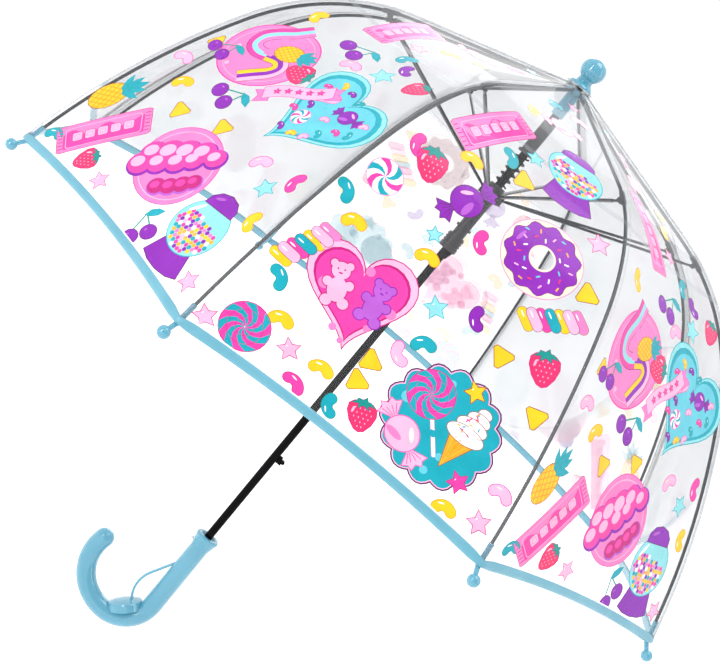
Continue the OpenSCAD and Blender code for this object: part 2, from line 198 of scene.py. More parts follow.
def ink_material(name, rgb, veil_share=0.55):
    """Printed ink: full colour outside; from inside it shows pale through its white backing."""
    m, nt, b = new_mat(name)
    tc = grain(nt, b, 60, 0.22, 0.34, 0.03, 400)
    a = tuple(x * 0.95 for x in rgb)
    c = tuple(min(1.0, x * 1.04 + 0.004) for x in rgb)
    tinted(nt, b, tc, a, c, 55)
    b.inputs["Specular IOR Level"].default_value = 0.25
    b.inputs["Coat Weight"].default_value = 0.15
    b.inputs["Coat Roughness"].default_value = 0.05
    pale = nt.nodes.new("ShaderNodeBsdfPrincipled")
    p = tuple(0.62 * x + 0.36 for x in rgb)
    pale.inputs["Base Color"].default_value = (*p, 1)
    pale.inputs["Roughness"].default_value = 0.4
    t = nt.nodes.new("ShaderNodeBsdfTransparent")
    veil = nt.nodes.new("ShaderNodeMixShader")
    veil.inputs[0].default_value = veil_share
    nt.links.new(t.outputs[0], veil.inputs[1])
    nt.links.new(pale.outputs[0], veil.inputs[2])
    g = nt.nodes.new("ShaderNodeNewGeometry")
    mix = nt.nodes.new("ShaderNodeMixShader")
    nt.links.new(g.outputs["Backfacing"], mix.inputs[0])
    nt.links.new(b.outputs[0], mix.inputs[1])
    nt.links.new(veil.outputs[0], mix.inputs[2])
    nt.links.new(mix.outputs[0], nt.nodes["Material Output"].inputs["Surface"])
    return m


def srgb(h):
    v = [int(h[i:i + 2], 16) / 255 for i in (0, 2, 4)]
    return tuple(x / 12.92 if x <= 0.04045 else ((x + 0.055) / 1.055) ** 2.4 for x in v)


INKS = {
    "hot": "F23FA4", "light": "FBB4D6", "pink": "F67FC0", "purple": "8A1FB0", "violet": "B55BCB",
    "dark": "5B2A5E", "teal": "0FA3B5", "aqua": "8ED9DF", "sky": "62C6D8", "yellow": "FFC81E",
    "gold": "F59A12", "orange": "F9B233", "red": "EE2F6B", "leaf": "12938C", "white": "FFFFFF",
    "cream": "FFE0CB", "brown": "9A4A28", "deep": "C0187A",
}
# How much of each ink still shows from inside the dome; the rest use OTHER_INKS
OTHER_INKS = 0.58
BACK_SHARE = {"dark": 0.2, "brown": 0.2, "deep": 0.25, "cream": 0.3, "white": 0.3, "light": 0.45}
INK = {k: ink_material("ink_" + k, srgb(v), BACK_SHARE.get(k, OTHER_INKS)) for k, v in INKS.items()}
INK_ORDER = list(INK)

for name, o in nodes.items():
    if name.startswith("rib_tip") or name in ("crook_handle", "handle_collar", "handle_cap",
                                              "handle_strap", "ferrule", "crown_notch"):
        m = BLUE
    elif name.startswith(("rib_", "stretcher_")):
        m = RIB_STEEL
    elif name in ("runner", "runner_grip_ring"):
        m = BLACK_PLASTIC
    elif name == "spring_stop":
        m = GREY_PLASTIC
    elif name == "crown_wire":
        m = WIRE
    elif name == "collar_stud":
        m = CHROME
    elif name == "top_washer":
        m = WASHER
    else:
        m = BLACK_STEEL
    o.data.materials.clear()
    o.data.materials.append(m)

# ---- Canopy surface (mm): two arcs and a straight line, as in the CAD profile ----
RIM_R, RIM_Z = 370.0, 248.0
FA, FR, SA, SR, TA = 14.5, 680.0, 32.5, 215.0, 74.0
FC = (RIM_R - FR * cos(radians(FA)), RIM_Z - FR * sin(radians(FA)))
SS = (FC[0] + FR * cos(radians(SA)), FC[1] + FR * sin(radians(SA)))
SC = (SS[0] - SR * cos(radians(SA)), SS[1] - SR * sin(radians(SA)))
TS = (SC[0] + SR * cos(radians(TA)), SC[1] + SR * sin(radians(TA)))
L1 = radians(SA - FA) * FR
L2 = radians(TA - SA) * SR
L3 = (TS[0] - 8.5) / sin(radians(TA))
LEN = L1 + L2 + L3
HALF = radians(22.5)


def profile(v):
    """Radius, height and outward normal of a rib line at a length v up from the hem."""
    if v < L1:
        a = radians(FA) + v / FR
        return FC[0] + FR * cos(a), FC[1] + FR * sin(a), a
    if v < L1 + L2:
        a = radians(SA) + (v - L1) / SR
        return SC[0] + SR * cos(a), SC[1] + SR * sin(a), a
    d = v - L1 - L2
    a = radians(TA)
    return TS[0] - d * sin(a), TS[1] + d * cos(a), a


def surf(g, u, v, off=0.0):
    """A point of gore g (between ribs g and g + 1), u mm right of its middle and v mm up from the hem."""
    r, z, a = profile(v)
    w = 2 * r * sin(HALF)
    t = max(-1.0, min(1.0, 2 * u / w))
    belly = 1 - t * t
    lift = 7.0 * belly * max(0.0, 1 - v / 90) ** 2
    if lift:
        r, z, a = profile(v + lift)
        w = 2 * r * sin(HALF)
    sag = 5.0 * belly * sin(pi * min(1.0, v / LEN))
    f = radians(202.5 + 45 * (g - 1) + 22.5)
    rr = r * cos(HALF)
    x, y = rr, t * w / 2
    d = off - sag
    x += d * cos(a)
    z += d * sin(a)
    return Vector(((x * cos(f) - y * sin(f)) / 1000, (x * sin(f) + y * cos(f)) / 1000, z / 1000))


def put(name, verts, faces, mats, index=None, smooth=True):
    """A mesh object in the scene."""
    me = bpy.data.meshes.new(name)
    me.from_pydata(verts, [], faces)
    for m in mats:
        me.materials.append(m)
    if index:
        me.polygons.foreach_set("material_index", index)
    me.polygons.foreach_set("use_smooth", [smooth] * len(me.polygons))
    me.update()
    o = bpy.data.objects.new(name, me)
    bpy.context.scene.collection.objects.link(o)
    return o


ROWS = 60
COLS = 8
SEAM_FOOT = 4
BAND_LOW, BAND_HIGH, BAND_LIFT, BAND_STEPS = 302, 308, 0.2, 6
HEM_HALF, HEM_THICK, HEM_CENTRE = 4.3, 1.35, 1.6


def half_width(v):
    """Half the chord between two ribs, v mm up from the hem."""
    return profile(v)[0] * sin(HALF)


def rib_surf(n, s, v, off=0.0):
    """The same surface by rib: s runs from -1, mid-gore before rib n, through 0 on the rib, to 1."""
    if s < 0:
        return surf(n - 1, half_width(v) * (1 + s), v, off)
    return surf(n, -half_width(v) * (1 - s), v, off)


def film_piece(n):
    """The clear film from mid-gore to mid-gore round rib n."""
    verts, faces = [], []
    for i in range(ROWS + 1):
        v = LEN * i / ROWS
        for j in range(-COLS, COLS + 1):
            verts.append(rib_surf(n, j / COLS, v))
    c = 2 * COLS + 1
    for i in range(ROWS):
        for j in range(2 * COLS):
            a = i * c + j
            faces.append((a, a + 1, a + c + 1, a + c))
    o = put(f"canopy_film_{n}", verts, faces, [FILM])
    mid = {i * c + COLS for i in range(ROWS + 1)}
    for e in o.data.edges:
        if e.vertices[0] in mid and e.vertices[1] in mid:
            e.use_edge_sharp = True
    return o


def seam_piece(n):
    """Welded seam along the rib, a little proud, with the rib's share of the translucent ring."""
    verts, faces = [], []
    prof = [(-3.4, 0.15), (-2.6, 0.55), (-0.9, 0.7), (0, 1.0), (0.9, 0.7), (2.6, 0.55), (3.4, 0.15)]
    for i in range(ROWS + 1):
        v = SEAM_FOOT + (LEN - 1.5 * SEAM_FOOT) * i / ROWS
        w = half_width(v)
        for x, h in prof:
            verts.append(rib_surf(n, max(-0.9, min(0.9, x / w)), v, h))
    c = len(prof)
    for i in range(ROWS):
        for j in range(c - 1):
            a = i * c + j
            faces.append((a, a + 1, a + c + 1, a + c))
    index = [0] * len(faces)
    for i in range(-BAND_STEPS, BAND_STEPS):
        k = len(verts)
        for s in (i / BAND_STEPS, (i + 1) / BAND_STEPS):
            verts += [rib_surf(n, s, BAND_LOW, BAND_LIFT), rib_surf(n, s, BAND_HIGH, BAND_LIFT)]
        faces.append((k, k + 2, k + 3, k + 1))
        index.append(1)
    return put(f"canopy_seam_{n}", verts, faces, [SEAM, BAND], index)


def hem_material():
    m, nt, b = new_mat("hem_binding")
    tc = grain(nt, b, 30, 0.3, 0.45, 0.0)
    tinted(nt, b, tc, (0.115, 0.38, 0.50), (0.145, 0.42, 0.54), 25)
    w = node(nt, "ShaderNodeTexWave", Scale=420.0, Distortion=1.5, Detail=1.0)
    nt.links.new(tc.outputs["Object"], w.inputs["Vector"])
    bp = node(nt, "ShaderNodeBump", Strength=0.15, Distance=0.0003)
    nt.links.new(w.outputs["Fac"], bp.inputs["Height"])
    nt.links.new(bp.outputs["Normal"], b.inputs["Normal"])
    b.inputs["Sheen Weight"].default_value = 0.2
    b.inputs["Coat Weight"].default_value = 0.25
    return m


HEM = hem_material()


def hem_piece(n):
    """Binding folded over the film's edge: a flat rounded band, pinched at the rib's tip."""
    verts, faces = [], []
    m = 16
    steps = 28
    for i in range(-steps, steps + 1):
        s = i / steps
        pinch = 1 - 0.28 * exp(-(abs(s) / 0.05) ** 2)
        for k in range(m):
            a = 2 * pi * k / m
            dv = HEM_HALF * pinch * (abs(cos(a)) ** 0.7) * (1 if cos(a) > 0 else -1)
            h = (HEM_THICK + 0.2 * cos(37.7 * s)) * sin(a)
            v = HEM_CENTRE + dv
            verts.append(rib_surf(n, s, max(v, 0.0), h) + Vector((0, 0, min(v, 0.0) / 1000)))
    for i in range(2 * steps):
        for k in range(m):
            a, b = i * m + k, i * m + (k + 1) % m
            faces.append((a, a + m, b + m, b))
    return put(f"canopy_hem_{n}", verts, faces, [HEM])


# ---- Motifs: lists of (layer, ink, points) in mm round (0, 0), upright ----
def polar(r, degrees):
    return r * cos(radians(degrees)), r * sin(radians(degrees))


def ell(cx, cy, a, b, n=26, rot=0.0):
    c, s = cos(radians(rot)), sin(radians(rot))
    out = []
    for i in range(n):
        x, y = a * cos(2 * pi * i / n), b * sin(2 * pi * i / n)
        out.append((cx + x * c - y * s, cy + x * s + y * c))
    return out


def rrect(cx, cy, w, h, r, rot=0.0, n=4):
    c, s = cos(radians(rot)), sin(radians(rot))
    out = []
    for sx, sy, a0 in ((1, 1, 0), (-1, 1, 90), (-1, -1, 180), (1, -1, 270)):
        for i in range(n + 1):
            a = radians(a0 + 90 * i / n)
            x = sx * (w / 2 - r) + r * cos(a)
            y = sy * (h / 2 - r) + r * sin(a)
            out.append((cx + x * c - y * s, cy + x * s + y * c))
    return out


def star_pts(ro, ri, n=5, cx=0, cy=0, rot=90):
    return [(cx + (ro if i % 2 == 0 else ri) * cos(radians(rot + 180 * i / n)),
             cy + (ro if i % 2 == 0 else ri) * sin(radians(rot + 180 * i / n)))
             for i in range(2 * n)]


def heart_pts(s, cx=0, cy=0, n=44):
    out = []
    for i in range(n):
        t = -2 * pi * i / n
        x = 16 * sin(t) ** 3
        y = 13 * cos(t) - 5 * cos(2 * t) - 2 * cos(3 * t) - cos(4 * t)
        out.append((cx + s * x / 32, cy + s * (y + 2.5) / 32))
    return out[::-1]


def turn_pts(pts, rot, cx=0, cy=0, k=1.0):
    c, s = cos(radians(rot)), sin(radians(rot))
    return [(cx + k * (x * c - y * s), cy + k * (x * s + y * c)) for x, y in pts]


def grow(pts, d):
    """The outline moved out by d along each corner's mean normal."""
    n = len(pts)
    area = sum(pts[i][0] * pts[(i + 1) % n][1] - pts[(i + 1) % n][0] * pts[i][1] for i in range(n))
    sg = 1 if area > 0 else -1
    out = []
    for i in range(n):
        (x0, y0), (x1, y1), (x2, y2) = pts[i - 1], pts[i], pts[(i + 1) % n]
        ax, ay, bx, by = x1 - x0, y1 - y0, x2 - x1, y2 - y1
        la, lb = hypot(ax, ay) or 1, hypot(bx, by) or 1
        nx, ny = ay / la + by / lb, -ax / la - bx / lb
        l = hypot(nx, ny) or 1
        k = sg * d / l * min(1.8, 2 / l)
        out.append((x1 + nx * k, y1 + ny * k))
    return out


def band(inner, outer, layer, ink):
    n = len(inner)
    return [(layer, ink, [inner[i], outer[i], outer[(i + 1) % n], inner[(i + 1) % n]])
            for i in range(n)]


OUTLINE = 0.8
SMALL_OUTLINE = 0.65


def drawn(pts, ink, line="dark", d=OUTLINE, layer=1):
    """A filled shape with a thin outline."""
    return [(layer, ink, pts)] + band(pts, grow(pts, d), layer, line)


def moved(shapes, x=0, y=0, rot=0, k=1.0, up=0):
    return [(l + up, c, turn_pts(p, rot, x, y, k)) for l, c, p in shapes]


def bean(ink="yellow", line=None, size=20):
    line = line or {"yellow": "gold", "teal": "leaf", "hot": "deep", "light": "hot",
                    "purple": "dark", "aqua": "teal"}[ink]
    mid, half = 0.36 * size, 0.2 * size
    out = []
    for i in range(13):
        a = radians(35 + 110 * i / 12)
        out.append((mid + half, a, 0, 0))
    for i in range(1, 8):
        out.append((half, radians(145 + 180 * i / 8), mid * cos(radians(145)),
                    mid * sin(radians(145))))
    for i in range(13):
        a = radians(145 - 110 * i / 12)
        out.append((mid - half, a, 0, 0))
    for i in range(1, 8):
        out.append((half, radians(215 + 180 * i / 8), mid * cos(radians(35)),
                    mid * sin(radians(35))))
    out = [(x + r * cos(a), y + r * sin(a) - mid * 0.75) for r, a, x, y in out]
    sh = ell(-size * 0.16, size * 0.13, size * 0.13, size * 0.03, 10, 8)
    return drawn(out, ink, line, SMALL_OUTLINE) + [(2, "white" if ink != "light" else "cream", sh)]


def star_m(ink="light", size=20):
    line = {"light": "deep", "aqua": "teal", "yellow": "brown", "hot": "deep"}[ink]
    return drawn(star_pts(size / 2, size / 4.1), ink, line,
                 SMALL_OUTLINE) + [(2, "white",
                                    ell(-size * 0.08, size * 0.16, size * 0.05, size * 0.02, 8,
                                        30))]


def tri(size=16):
    p = [polar(size * 0.58, 90 + 120 * i + d) for i in range(3) for d in (-9, 0, 9)]
    return drawn(p, "yellow", "brown", SMALL_OUTLINE)


def strawberry(size=30):
    k = size / 30
    body = [(0, -14), (4, -12.5), (9, -6), (12, 2), (11.5, 8), (7.5, 11.5), (0, 10.5), (-7.5, 11.5),
            (-11.5, 8), (-12, 2), (-9, -6), (-4, -12.5)]
    out = drawn(body, "red", "deep", 0.6)
    for j, row in enumerate(((-6, -2, 2, 6), (-8, -4, 0, 4, 8), (-6, -2, 2, 6), (-4, 0, 4),
                             (-1.6, 1.6))):
        for x in row:
            out.append((2, "light", ell(x, 6 - 3.9 * j, 0.5, 0.8, 6)))
    crown = [(0, 9), (5, 6), (4, 10), (10, 9), (6, 12.5), (3, 13), (2, 16), (-1, 13.4), (-5, 14),
             (-6, 12), (-10, 9), (-4, 10), (-4, 6)]
    out += drawn(crown, "leaf", "dark", 0.4, 3)
    out.append((2, "light", ell(-7.6, 3.5, 1, 3, 10, -15)))
    return moved(out, k=k)


def chord(a, b, ang, off):
    """The ends of a straight line across an ellipse."""
    c, s = cos(radians(ang)), sin(radians(ang))
    px, py = -s * off, c * off
    qa = (c / a) ** 2 + (s / b) ** 2
    qb = 2 * (px * c / a ** 2 + py * s / b ** 2)
    qc = (px / a) ** 2 + (py / b) ** 2 - 1
    d = qb * qb - 4 * qa * qc
    if d <= 0:
        return None
    t0, t1 = (-qb - d ** 0.5) / 2 / qa, (-qb + d ** 0.5) / 2 / qa
    return (px + c * t0, py + s * t0), (px + c * t1, py + s * t1)


def line(p, q, w, layer, ink):
    dx, dy = q[0] - p[0], q[1] - p[1]
    l = hypot(dx, dy) or 1
    nx, ny = -dy / l * w / 2, dx / l * w / 2
    return [(layer, ink,
             [(p[0] - nx, p[1] - ny), (q[0] - nx, q[1] - ny), (q[0] + nx, q[1] + ny),
              (p[0] + nx, p[1] + ny)])]


def pineapple(size=50):
    k = size / 50
    out = drawn(ell(0, -8, 11, 16), "yellow", "brown", 0.6)
    for ang in (52, -52):
        for i in range(-3, 4):
            c = chord(10.6, 15.6, ang, i * 4.1)
            if c:
                (a, b), (d, e) = c
                out += line((a, b - 8), (d, e - 8), 0.8, 2, "gold")
    for dx, dy, r in ((0, 24, 0), (-5, 21, 22), (5, 21, -22), (-9, 16, 48), (9, 16, -48),
                      (-3, 16, 12), (3, 16, -12)):
        leaf = turn_pts([(0, 8), (2.4, 2), (2.2, -5), (-2.2, -5), (-2.4, 2)], r)
        out += drawn([(x + dx * 0.7, y + dy - 8) for x, y in leaf], "teal", "leaf", 0.4, 3)
    return moved(out, k=k)


def cherries(size=42):
    k = size / 42
    out = []
    for x, y in ((-9, -9), (8, -5)):
        out += drawn(ell(x, y, 8, 7.4), "purple", "dark", 0.6, 2)
        out.append((3, "violet", ell(x - 3, y + 2.5, 1.8, 1, 8, 30)))
    out += line((-8, -3), (2, 13), 1.5, 1, "leaf") + line((8, 1), (3, 13), 1.5, 1, "leaf")
    out += drawn([(1, 13), (6, 17.5), (13, 18), (19, 15), (13, 11.6), (6, 11)], "teal", "leaf", 0.5,
                 3)
    return moved(out, k=k)


def pinwheel(r, inks, twist=70, layer=2, n=12):
    out = []
    for i in range(n):
        a0, a1 = 360 * i / n, 360 * (i + 1) / n
        e0 = [polar(r * t, a0 + twist * t) for t in (0.02, 0.25, 0.5, 0.75, 1)]
        e1 = [polar(r * t, a1 + twist * t) for t in (1, 0.75, 0.5, 0.25, 0.02)]
        rim = [polar(r, a0 + (a1 - a0) * j / 3 + twist) for j in (1, 2)]
        out.append((layer, inks[i % len(inks)], e0 + rim + e1))
    return out


def lollipop(size=36, stick=26):
    r = size / 2
    out = pinwheel(r, ("hot", "teal"), 75, 2, 14)
    out += band(ell(0, 0, r, r), ell(0, 0, r + 0.7, r + 0.7), 2, "deep")
    for q in (0.36, 0.7):
        out += band(ell(0, 0, r * q, r * q), ell(0, 0, r * q + 0.35, r * q + 0.35), 3, "deep")
    out += drawn(rrect(0, -r - stick / 2, 2.6, stick, 1), "white", "pink", 0.35, 1)
    return out


def mint(size=28):
    r = size / 2
    out = pinwheel(r, ("white", "hot", "white", "teal"), 60, 2, 12)
    return out + band(ell(0, 0, r, r), ell(0, 0, r + 0.6, r + 0.6), 2, "pink")


def wrapped(ink="purple", size=46):
    k = size / 46
    line_ = {"purple": "dark", "pink": "deep", "light": "hot"}[ink]
    side = {"purple": "violet", "pink": "hot", "light": "pink"}[ink]
    out = drawn(ell(0, 0, 12, 11.5), ink, line_, 0.6, 3)
    out.append((4, "white" if ink != "purple" else "light", ell(3, 5.5, 5, 1.5, 14, -25)))
    out.append((4, side, ell(-2.5, -5, 6.5, 2.6, 14, 20)))
    for s in (1, -1):
        fan = [(s * 10, 3), (s * 13, 2.4), (s * 20, 9), (s * 21, 5), (s * 24, 3.5), (s * 21.6, 0),
               (s * 24, -4), (s * 20.6, -5), (s * 19, -9), (s * 13, -2.4), (s * 10, -3)]
        out += drawn(fan if s > 0 else fan[::-1], ink, line_, 0.5, 2)
        for y in (5, 1.4, -2.4, -5.6):
            out += line((s * 13, y * 0.3), (s * 19.5, y), 0.5, 3, line_)
    return moved(out, k=k)


def rope(length=50):
    k = length / 50
    out = []
    inks = ("yellow", "light", "hot", "teal", "yellow", "light", "pink")
    for i, c in enumerate(inks):
        out += drawn(rrect(-21 + 7 * i, 0, 8, 19, 3.9, 22, 4), c, "dark" if i % 2 else "brown", 0.4,
                     1 + i % 2)
        out.append((3, "white", ell(-23 + 7 * i, 4, 0.6, 3, 8, 22)))
    return moved(out, k=k)


def donut(size=68):
    k = size / 68
    outer = ell(0, 0, 34, 33, 40)
    hole = ell(0, 0, 9.5, 9.5, 40)
    out = band(hole, outer, 1, "cream") + band(outer, grow(outer, 0.7), 1, "pink")
    wavy = []
    for i in range(66):
        a, ripple = 2 * pi * i / 66, 1.9 * cos(11 * 2 * pi * i / 66)
        wavy.append(((30.5 + ripple) * cos(a), (29.5 + ripple) * sin(a)))
    inner = ell(0, 0, 11.2, 11.2, 66)
    out += band(inner, wavy, 2, "purple") + band(wavy, grow(wavy, 0.5), 2, "dark")
    r2 = random.Random(3)
    for i in range(26):
        a = 2 * pi * i / 26 + r2.random() * 0.15
        rr = 14.5 + 12.5 * ((i * 0.618) % 1)
        out.append((3, ("white", "orange", "red", "sky", "light")[i % 5],
                    rrect(rr * cos(a), rr * sin(a), 4, 1.3, 0.6, r2.random() * 180, 2)))
    out.append((3, "violet", ell(-17, 17, 6, 1.6, 14, 45)))
    return moved(out, k=k)


def beads(r, cx=0, cy=0, step=3.6, cut=None, seed=1, layer=3):
    r3 = random.Random(seed)
    out = []
    inks = ("hot", "light", "orange", "teal", "white", "purple", "pink", "yellow", "hot")
    j = 0
    y = -r
    while y < r:
        x = -r + (step / 2 if j % 2 else 0)
        while x < r:
            if x * x + y * y < (r - step * 0.45) ** 2 and (cut is None or x * cut[0] +
                    y * cut[1] < cut[2]):
                out.append((layer, inks[r3.randrange(9)],
                            ell(cx + x, cy + y, step * 0.5, step * 0.5, 9)))
            x += step
        y += step * 0.87
        j += 1
    return out


def machine(size=90):
    k = size / 90
    out = drawn([(-17, -22), (17, -22), (24, -42), (14, -46), (0, -47.5), (-14, -46), (-24, -42)],
                "purple", "dark", 0.7, 1)
    out += drawn(ell(0, 0, 27, 27, 40), "aqua", "teal", 0.8, 2)
    out += beads(25.5, 0, -1.5, 4.1, (0.25, 1, 9), 5, 3)
    out.append((4, "white", ell(-17, 13, 1.6, 8, 14, -38)))
    out += drawn([(-17, 21), (17, 21), (16, 28), (10, 34), (0, 36.5), (-10, 34), (-16, 28)],
                 "purple", "dark", 0.7, 4)
    out.append((5, "violet", ell(-7, 29.5, 5, 1.5, 12, 22)))
    return moved(out, k=k)


def bar(size=88):
    k = size / 88
    out = drawn([(-44, -13), (-41, -14.5), (41, -14.5), (44, -13), (44, 13), (41, 14.5),
                 (-41, 14.5), (-44, 13)], "pink", "deep", 0.6, 1)
    wave = [(-38 + 4 * i, 4.5 + 4.2 * sin(i * 0.75)) for i in range(20)]
    out.append((2, "hot", [(-38, -11.5)] + [(38, -11.5)] + wave[::-1]))
    out += band(rrect(0, 0, 70, 21, 2.5), rrect(0, 0, 71.4, 22.4, 3), 3, "light")
    for s in (1, -1):
        for y in (-10, -6, -2, 2, 6, 10):
            out += line((s * 38.5, y), (s * 43, y), 0.9, 3, "deep")
    for i in range(5):
        out += drawn(rrect(-24 + 12 * i, 0, 9, 9, 1.8), "light", "deep", 0.5, 4)
        out += band(rrect(-24 + 12 * i, 0, 4.6, 4.6, 1), rrect(-24 + 12 * i, 0, 5.4, 5.4, 1.2), 5,
                    "pink")
    return moved(out, k=k)


def gummy(ink, line_, k=1.0):
    out = []
    parts = [ell(-6, 16, 3, 3, 14), ell(6, 16, 3, 3, 14), ell(-8.4, 1.5, 3.6, 3.6, 14),
             ell(8.4, 1.5, 3.6, 3.6, 14),
             ell(-6.5, -12.5, 4.4, 4.2, 16), ell(6.5, -12.5, 4.4, 4.2, 16),
             ell(0, -3, 7.4, 9.4, 24), ell(0, 11.5, 7.2, 6.6, 24)]
    for p in parts:
        out += band(p, grow(p, 0.8), 3, line_)
    for p in parts:
        out.append((4, ink, p))
    for x in (-2.6, 2.6):
        out.append((5, line_, ell(x, 12.6, 0.7, 0.8, 8)))
    out.append((5, line_, ell(0, 9.6, 1.7, 0.7, 10)))
    return moved(out, k=k)


def heart_pink(size=84):
    k = size / 84
    a, b, c = heart_pts(84), heart_pts(74), heart_pts(70)
    out = band(a, grow(a, 0.9), 1, "deep") + band(b, a, 1, "light") + band(c, b, 1,
            "deep") + [(1, "hot", c)]
    for x, y, r in ((-26, 4, 4.5), (4, 23, 3.6), (27, -2, 4), (-11, -25, 3), (13, -18, 2.6),
                    (-3, -33, 2.4)):
        out.append((2, "pink", ell(x, y, r, r, 18)))
    out += moved(gummy("light", "deep", 0.98), -16, 5, 4) + moved(gummy("violet", "purple", 0.98),
            14, 1, -14)
    return moved(out, k=k)


def heart_teal(size=110):
    k = size / 110
    a, b, c = heart_pts(110), heart_pts(102), heart_pts(92)
    out = band(a, grow(a, 0.9), 1, "teal") + band(b, a, 1, "aqua") + band(c, b, 1,
            "teal") + [(1, "sky", c)]
    out += moved(wrapped("purple", 34), 14, 20, 20, 1, 1)
    out += moved(mint(17), -8, -16, 0, 1, 1)
    h = heart_pts(22, -22, 12)
    out += drawn(h, "light", "hot", 0.7, 3)
    cols = ("hot", "yellow", "purple", "light", "teal")
    spots = [(-36, 16, 20), (-30, 30, -30), (-16, 32, 15), (33, 29, 40), (38, 14, -60), (28, 6, 10),
             (-34, 0, 60), (-20, -4, -20), (6, 2, 35), (22, -8, -25), (-24, -18, 10), (8, -28, 50),
             (-6, -34, -15), (18, -20, 70), (0, 34, 60)]
    for i, (x, y, r) in enumerate(spots):
        out += moved(bean(cols[i % 5], None, 9.5), x, y, r, 1, 2)
    out += ribbon_band(64, -40, -10, 62)
    return moved(out, k=k)


def ribbon_band(length, x, y, rot):
    n = 12
    top = [(-length / 2 + length * i / n, 7 + 2.4 * sin(2 * pi * i / n)) for i in range(n + 1)]
    low = [(a, b - 14) for a, b in top]
    body = low + top[::-1]
    out = drawn(body, "light", "hot", 0.6, 6)
    for s in (1, -1):
        e = s * length / 2
        tail = [(e - s * 6, -10), (e + s * 8, -10), (e + s * 4, -3), (e + s * 8, 4), (e - s * 6, 4)]
        out += drawn(tail if s > 0 else tail[::-1], "pink", "hot", 0.6, 5)
    for i in range(5):
        out += moved(star_m("hot", 6.5), -20 + 10 * i, 0.6 + 1.5 * sin(2 * pi * (i + 1) / 6), 0, 1,
                     6)
    return moved(out, x, y, rot)


def scallop(r, n, depth, m=6):
    """A circle with n round bumps."""
    out = []
    for i in range(n * m):
        rr = r + depth * abs(sin(n / 2 * 2 * pi * i / (n * m)))
        a = 2 * pi * i / (n * m)
        out.append((rr * cos(a), rr * sin(a)))
    return out


def cone(k=1.0):
    body = [(-9, 2), (9, 2), (0, -22)]
    out = drawn(body, "orange", "brown", 0.6, 5)
    for i in range(4):
        out += line((-7.6 + 3.6 * i, 1.2), (-1.4 + 0.3 * i + 0.6, -17 + 3.6 * i * 0.9), 0.6, 6,
                    "gold")
        out += line((7.6 - 3.6 * i, 1.2), (1.4 - 0.3 * i - 0.6, -17 + 3.6 * i * 0.9), 0.6, 6,
                    "gold")
    for x, y, a, b in ((0, 5.5, 13.5, 6), (0, 12.5, 11, 5.4), (0.6, 19, 8, 4.6),
                       (1.4, 24.6, 4.6, 3.4)):
        out += drawn(ell(x, y, a, b, 26, 8), "white", "brown", 0.5, 6)
    r4 = random.Random(9)
    for i in range(18):
        y = 4 + 20 * r4.random()
        x = (r4.random() - 0.5) * (22 - 0.8 * y)
        out.append((7, ("orange", "hot", "teal", "red")[i % 4],
                    rrect(x, y, 2.6, 0.9, 0.4, 180 * r4.random(), 2)))
    return moved(out, k=k)


def badge(size=86):
    k = size / 86
    a = scallop(40, 14, 5)
    out = [(1, "teal", a)] + band(a, grow(a, 0.8), 1, "light") + band(grow(a, 0.8), grow(a, 2.0), 1,
            "dark")
    for x, y, r in ((-24, 22, 4.5), (20, 3, 4.6), (-2, -22, 3), (10, 32, 3), (-14, -32, 3.2)):
        out.append((2, "sky", ell(x, y, r, r, 18)))
    out += moved(lollipop(36, 28), -6, 24, 0, 1, 1)
    out += moved(wrapped("light", 52), -29, -6, -68, 1, 1)
    out += moved(cone(1.12), 14, -10, -42)
    out += moved(star_m("yellow", 17), 27, 26, 10, 1, 2)
    out += moved(star_m("hot", 17), 12, -40, 15, 1, 2)
    return moved(out, k=k)


def spline(a, b, c, d, t):
    """A smooth curve from b to c that heads for its neighbours a and d."""
    square = (2 * a - 5 * b + 4 * c - d) * t * t
    cube = (3 * b - a - 3 * c + d) * t ** 3
    return 0.5 * (2 * b + (c - a) * t + square + cube)


def oval(size=100):
    k = size / 100
    a = ell(0, 0, 40, 46, 44)
    out = [(1, "pink", a)] + band(a, grow(a, 1.2), 1, "hot")
    out += band(ell(0, 0, 35, 41, 44), ell(0, 0, 35.6, 41.6, 44), 2, "light")
    for x, y in ((-26, -14), (-12, -30), (10, -36), (26, -20), (-30, 8), (28, 10), (0, 34)):
        out.append((2, "light", ell(x, y, 2.3, 2.3, 12)))
    path = [(-36, 34), (-30, 18), (-28, 2), (-24, -10), (-14, -16), (-4, -10), (2, 2), (8, 12),
            (18, 14), (24, 6), (26, -8), (28, -22)]
    fine = []
    for i in range(len(path) - 1):
        p0, p1, p2, p3 = path[max(i - 1, 0)], path[i], path[i + 1], path[min(i + 2, len(path) - 1)]
        for j in range(4):
            t = j / 4
            fine.append(tuple(spline(p0[q], p1[q], p2[q], p3[q], t) for q in (0, 1)))
    fine.append(path[-1])
    rails = []
    for off in (-7.6, -7, -2.4, 2.4, 7, 7.6):
        rail = []
        for i, (x, y) in enumerate(fine):
            x0, y0 = fine[max(i - 1, 0)]
            x1, y1 = fine[min(i + 1, len(fine) - 1)]
            l = hypot(x1 - x0, y1 - y0) or 1
            rail.append((x - (y1 - y0) / l * off, y + (x1 - x0) / l * off))
        rails.append(rail)
    for r, cols in enumerate((("dark",), ("hot", "yellow"), ("aqua", "purple"), ("pink", "light"),
                              ("dark",))):
        for i in range(len(fine) - 1):
            c = cols[int(i / len(fine) * len(cols))]
            out.append((3, c, [rails[r][i], rails[r][i + 1], rails[r + 1][i + 1], rails[r + 1][i]]))
    out += moved(pineapple(46), 2, 26, -22, 1, 4) + moved(strawberry(30), 25, 34, -35, 1, 4)
    out += moved(cherries(36), -8, -42, 25, 1, 4)
    return moved(out, k=k)


